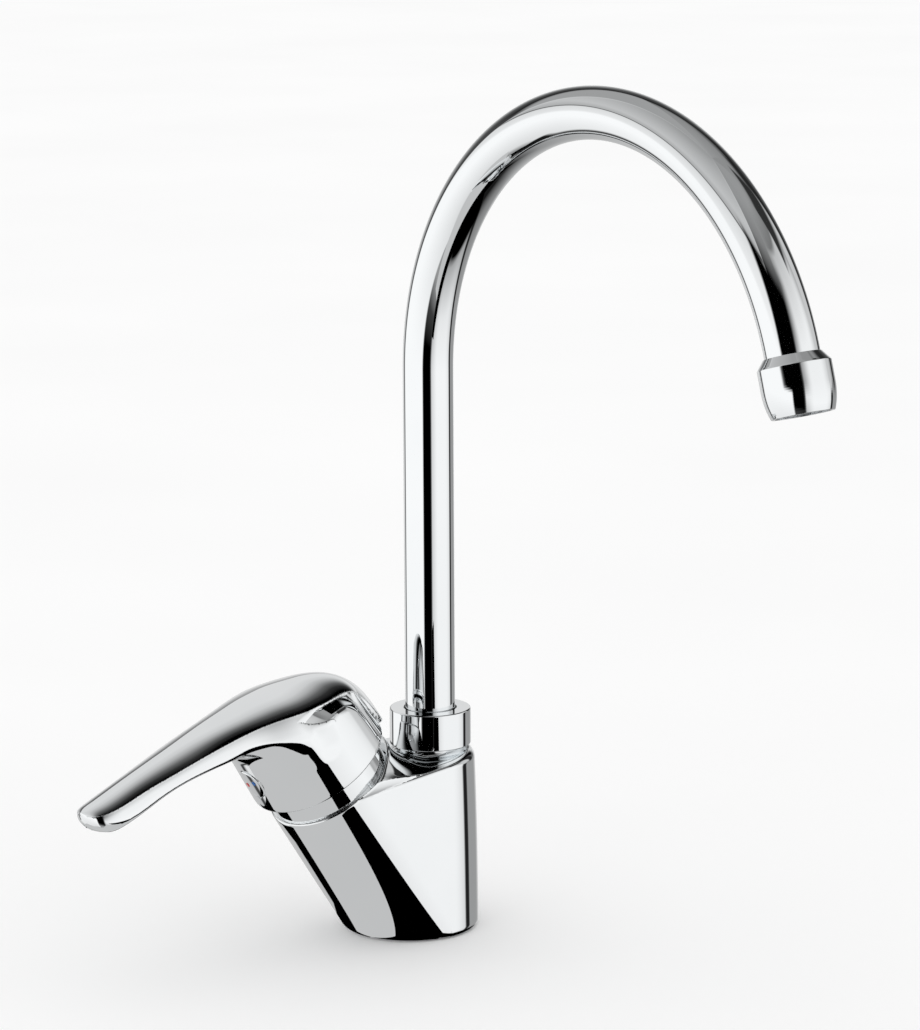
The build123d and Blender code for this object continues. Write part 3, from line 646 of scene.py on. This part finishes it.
SLOT_OF = {
    "base_gasket": "rubber", "cartridge_base": "plastic_white", "cartridge_port_seals": "rubber",
    "fixed_ceramic_disc": "ceramic", "cartridge_housing": "plastic_grey", "cartridge_nut": "brass",
    "collar_slip_ring": "plastic_white", "spout_socket_bush": "plastic_white", "spout_ferrule": "brass",
    "spout_o_rings": "rubber", "aerator_adapter": "brass", "aerator_washer": "rubber",
    "aerator_insert": "plastic_white", "aerator_screen": "steel", "stem_holder": "plastic_white",
    "stem_pivot_pin": "steel", "moving_ceramic_disc": "ceramic", "disc_carrier": "plastic_grey",
    "cartridge_stem": "brass", "grub_screw": "steel", "index_plug": "chrome", "hot_mark": "red",
    "cold_mark": "blue",
    "mixer_body": "chrome", "handle_lever": "chrome", "spout_tube": "chrome", "spout_collar": "chrome",
    "trim_ring": "chrome", "aerator_housing": "chrome",
}
for name, obj in nodes.items():
    mat = MATERIALS[SLOT_OF[name]]
    if not obj.material_slots:
        obj.data.materials.append(mat)
    for slot in obj.material_slots:
        slot.material = mat


# ---------------------------------------------------------------- camera, at the photograph's place
cam_data = bpy.data.cameras.new("camera")
cam_data.sensor_width = 36.0
cam_data.lens = 36.0 * 3865.98 / 1030.0
cam_data.clip_start, cam_data.clip_end = 0.05, 120.0
cam = bpy.data.objects.new("camera", cam_data)
scene.collection.objects.link(cam)
right, up, fwd = Vector((0.610101, 0.792310, -0.004681)), Vector((-0.150745, 0.121874, 0.981032)), Vector((-0.777852, 0.597822, -0.193792))
cam.matrix_world = Matrix((
    (right.x, up.x, -fwd.x, 1.084468),
    (right.y, up.y, -fwd.y, -0.809994),
    (right.z, up.z, -fwd.z, 0.418648),
    (0, 0, 0, 1),
))
scene.camera = cam
scene.view_settings.view_transform = "Standard"
scene.view_settings.look = "None"

# ---------------------------------------------------------------- studio
# Bearings are degrees round the object from the camera, to the right; brightness is linear.
# zone: bearings from and to, their soft edges, slant (degrees up per degree round, from a bearing),
#       lowest elevation and its soft edge, (elevation, brightness) stops
# flag: bearings from and to, soft edge, elevations from and to, soft edge, brightness
STUDIO = [
    ("zone", -400, 400, 1, 1, 0, 0, -200, 1, [(-90, 0), (-72, 0.02), (-45, 0.32), (-20, 0.52), (0, 0.8), (15, 0.34), (25, 0.09), (41, 0.008), (48, 0.27), (90, 0.35)]),
    ("zone", -180, -129, 1, 5, 0.5, -126, -200, 1, [(-94, 0), (-74, 0.3), (-34, 0.62), (-25, 0.76), (-10, 0.34), (0, 0.1), (13, 0.01), (18, 0.36)]),
    ("zone", -129, -26, 5, 5, 0, 0, -200, 1, [(-90, 0.28), (-60, 0.32), (-53, 0.78), (-10, 1.03)]),
    ("zone", -129, -26, 5, 5, -0.22, -126, 4, 6, [(-20, 1), (13, 0.76), (14, 0.16), (15.2, 0.16), (16.2, 0.45), (26, 0.57), (40, 0.5), (72, 0.35)]),
    ("zone", -24, 14, 4, 6, 0, 0, -200, 1, [(-90, 0.28), (-62, 0.32), (-40, 0.32), (-30, 0.05), (-18, 0), (34, 0), (52, 0.23), (70, 0.32)]),
    ("flag", -50, 6, 8, 3, 36, 8, 0),
    ("zone", 120, 158, 6, 12, 0, 0, -200, 1, [(-72, 0.01), (-45, 0.24), (-20, 0.34), (-5, 0.32), (2, 0.15), (20, 0.07), (37, 0.003), (54, 0.27), (90, 0.34)]),
    ("zone", 25, 105, 36, 46, 0, 0, -200, 1, [(-57, 0), (-52, 0.42), (-30, 0.86), (-8, 1), (20, 0.93), (51, 0.54), (54, 0.19), (70, 0.33)]),
    ("zone", 108, 131, 6, 5, 0, 0, 3, 8, [(30, 0.6), (42, 0.05), (54, 0.29)]),
    ("flag", 108.5, 121, 5, -80, 0, 10, 0.015),
    ("flag", 132, 144, 5, -4, 46, 10, 0.02),
    ("flag", 84, 128, 6, 38, 62, 6, 0.03),
    ("flag", -140, -132, 4, -50, 18, 8, 0.06),
    ("flag", -146, -122, 5, -68, -49, 6, 0.01),
    ("flag", 8, 118, 8, -95, -57, 5, 0),
]
# cards on the table: outline in steps towards the camera and to the right, millimetres, brightness
TABLE_Z = -20.0
TABLE_CARDS = [
    ([(0, -20), (40, -8), (70, 0), (190, 33), (340, 70), (560, 120), (560, 210), (350, 165), (195, 112), (87, 68), (20, 40), (0, 30)], 0),
    ([(51.7, 18.8), (35.4, 42.1), (9.6, 54.2), (-18.8, 51.7), (-38.9, 38.9), (-14, 14), (-6.8, 18.8), (3.5, 19.7), (12.9, 15.3), (18.8, 6.8)], 0),
    ([(0, -20), (2, -54), (5, -80), (8, -112), (-75, -112), (-75, -99), (-34, -84), (-24, -50), (-75, -30), (-75, -10)], 0),
    ([(0, -20), (40, -8), (70, 0), (190, 33), (340, 70), (330, -30), (150, -110), (60, -190), (12, -190), (9, -120), (5, -80), (2, -54), (0, -20)], 0.56),
]
# graded card overhead, seen from below: height, direction of its grading, stops along it, extent
OVERHEAD = dict(z=200, axis=(0.934, 0.357), stops=[(-150, 0.74), (-112, 0.64), (-88, 0.45), (-63, 0.135), (-47, 0.03), (-32, 0)], u=(-330, 20), v=(-500, 700))

CAM_AZ = math.degrees(math.atan2(-0.597822, 0.777852))
world = bpy.data.worlds.new("studio")
scene.world = world
world.use_nodes = True


def into(tree, source, socket):
    """Number or node output into a socket."""
    if isinstance(source, (int, float)):
        socket.default_value = float(source)
    else:
        tree.links.new(source, socket)


def calc(tree, op, *args):
    nd = tree.nodes.new("ShaderNodeMath")
    nd.operation = op
    for k, arg in enumerate(args):
        into(tree, arg, nd.inputs[k])
    return nd.outputs[0]


def ease(tree, value, lo, hi):
    m = tree.nodes.new("ShaderNodeMapRange")
    m.interpolation_type = "SMOOTHSTEP"
    m.inputs["From Min"].default_value = lo
    m.inputs["From Max"].default_value = hi
    tree.links.new(value, m.inputs["Value"])
    return m.outputs["Result"]


def window(tree, value, lo, hi, soft_lo, soft_hi):
    """1 between lo and hi, with soft edges."""
    rise = ease(tree, value, lo - soft_lo / 2, lo + soft_lo / 2)
    fall = ease(tree, value, hi - soft_hi / 2, hi + soft_hi / 2)
    return calc(tree, "MULTIPLY", rise, calc(tree, "SUBTRACT", 1.0, fall))


def graded(tree, value, stops):
    """Brightness through (place, brightness) stops."""
    lo, hi = stops[0][0], stops[-1][0]
    ramp = tree.nodes.new("ShaderNodeValToRGB")
    cr = ramp.color_ramp
    while len(cr.elements) < len(stops):
        cr.elements.new(0.5)
    for e, (place, b) in zip(cr.elements, stops):
        e.position = (place - lo) / (hi - lo)
    for e, (place, b) in zip(cr.elements, stops):
        e.color = (b, b, b, 1)
    m = tree.nodes.new("ShaderNodeMapRange")
    m.inputs["From Min"].default_value, m.inputs["From Max"].default_value = lo, hi
    tree.links.new(value, m.inputs["Value"])
    tree.links.new(m.outputs["Result"], ramp.inputs[0])
    return ramp.outputs[0]


def over(tree, low, high, mask):
    m = tree.nodes.new("ShaderNodeMix")
    m.data_type = "FLOAT"
    into(tree, mask, m.inputs[0])
    into(tree, low, m.inputs[2])
    into(tree, high, m.inputs[3])
    return m.outputs[0]


wt = world.node_tree
wt.nodes.clear()
coord = wt.nodes.new("ShaderNodeTexCoord")
sep = wt.nodes.new("ShaderNodeSeparateXYZ")
wt.links.new(coord.outputs["Generated"], sep.inputs[0])
az = calc(wt, "MULTIPLY_ADD", calc(wt, "ARCTAN2", sep.outputs[1], sep.outputs[0]), 57.29578, -CAM_AZ)
az = calc(wt, "WRAP", az, 180.0, -180.0)
el = calc(wt, "MULTIPLY", calc(wt, "ARCSINE", sep.outputs[2]), 57.29578)
light = 0.0
for layer in STUDIO:
    if layer[0] == "zone":
        _kind, a0, a1, s0, s1, slant, ref, low, low_soft, stops = layer
        mask = window(wt, az, a0, a1, s0, s1)
        if low > -90:
            mask = calc(wt, "MULTIPLY", mask, ease(wt, el, low - low_soft / 2, low + low_soft / 2))
        height = calc(wt, "MULTIPLY_ADD", calc(wt, "SUBTRACT", az, ref), slant, el) if slant else el
        light = over(wt, light, graded(wt, height, stops), mask)
    else:
        _kind, a0, a1, s0, e0, e1, s1, bright = layer
        mask = calc(wt, "MULTIPLY", window(wt, az, a0, a1, s0, s0), window(wt, el, e0, e1, s1, s1))
        light = over(wt, light, bright, mask)

# the set shows in reflections only; everything else is lit by an even white
lp = wt.nodes.new("ShaderNodeLightPath")
bg = wt.nodes.new("ShaderNodeBackground")
wt.links.new(over(wt, 1.0, light, lp.outputs["Is Glossy Ray"]), bg.inputs[0])
bg.inputs[1].default_value = 1.0
wout = wt.nodes.new("ShaderNodeOutputWorld")
wt.links.new(bg.outputs[0], wout.inputs[0])


def glow(name, bright):
    """Even light of a studio card."""
    mat = bpy.data.materials.new(name)
    mat.use_nodes = True
    tree = mat.node_tree
    tree.nodes.clear()
    o = tree.nodes.new("ShaderNodeOutputMaterial")
    e = tree.nodes.new("ShaderNodeEmission")
    e.inputs[0].default_value = (bright, bright, bright, 1)
    tree.links.new(e.outputs[0], o.inputs[0])
    mat.cycles.emission_sampling = "NONE"
    return mat, tree, e, o


def card(name, points, mat):
    """Flat studio card that only reflections see."""
    mesh = bpy.data.meshes.new(name)
    mesh.from_pydata([tuple(c * MM for c in p) for p in points], [], [tuple(range(len(points)))])
    mesh.materials.append(mat)
    obj = bpy.data.objects.new(name, mesh)
    scene.collection.objects.link(obj)
    obj.visible_camera = obj.visible_diffuse = obj.visible_shadow = False
    obj.visible_transmission = obj.visible_volume_scatter = False
    return obj


ca, sa = math.cos(math.radians(CAM_AZ)), math.sin(math.radians(CAM_AZ))
for i, (outline, bright) in enumerate(TABLE_CARDS):
    ground = [(p * ca - q * sa, p * sa + q * ca, TABLE_Z) for p, q in outline]
    card("card_table_%d" % (i + 1), ground, glow("card_table_%d" % (i + 1), bright)[0])

mat, tree, e, o = glow("card_overhead", 0.0)
c = tree.nodes.new("ShaderNodeTexCoord")
s = tree.nodes.new("ShaderNodeSeparateXYZ")
tree.links.new(c.outputs["Object"], s.inputs[0])
p, q = OVERHEAD["axis"]
place = calc(tree, "MULTIPLY_ADD", s.outputs[0], p / MM, calc(tree, "MULTIPLY", s.outputs[1], q / MM))
tree.links.new(graded(tree, place, OVERHEAD["stops"]), e.inputs[0])
geo = tree.nodes.new("ShaderNodeNewGeometry")
clear = tree.nodes.new("ShaderNodeBsdfTransparent")
mix = tree.nodes.new("ShaderNodeMixShader")
tree.links.new(geo.outputs["Backfacing"], mix.inputs[0])
tree.links.new(e.outputs[0], mix.inputs[1])
tree.links.new(clear.outputs[0], mix.inputs[2])
tree.links.new(mix.outputs[0], o.inputs[0])
u0, u1 = OVERHEAD["u"]
v0, v1 = OVERHEAD["v"]
card("card_overhead", [(u * p - v * q, u * q + v * p, OVERHEAD["z"]) for u, v in ((u0, v0), (u0, v1), (u1, v1), (u1, v0))], mat)

floor_mesh = bpy.data.meshes.new("floor")
floor_mesh.from_pydata([(-40, -40, -0.0002), (40, -40, -0.0002), (40, 40, -0.0002), (-40, 40, -0.0002)], [], [(0, 1, 2, 3)])
floor = bpy.data.objects.new("floor", floor_mesh)
scene.collection.objects.link(floor)
mat, tree, bsdf, c = shader("floor_pale")
t = noise(tree, c, 3.0, 2.0)
tree.links.new(two_tone(tree, t.outputs[0], (0.955, 0.955, 0.955), (0.975, 0.975, 0.975)), bsdf.inputs["Base Color"])
bsdf.inputs["Roughness"].default_value = 0.9
bsdf.inputs["Specular IOR Level"].default_value = 0.0
floor_mesh.materials.append(mat)
floor.visible_glossy = False
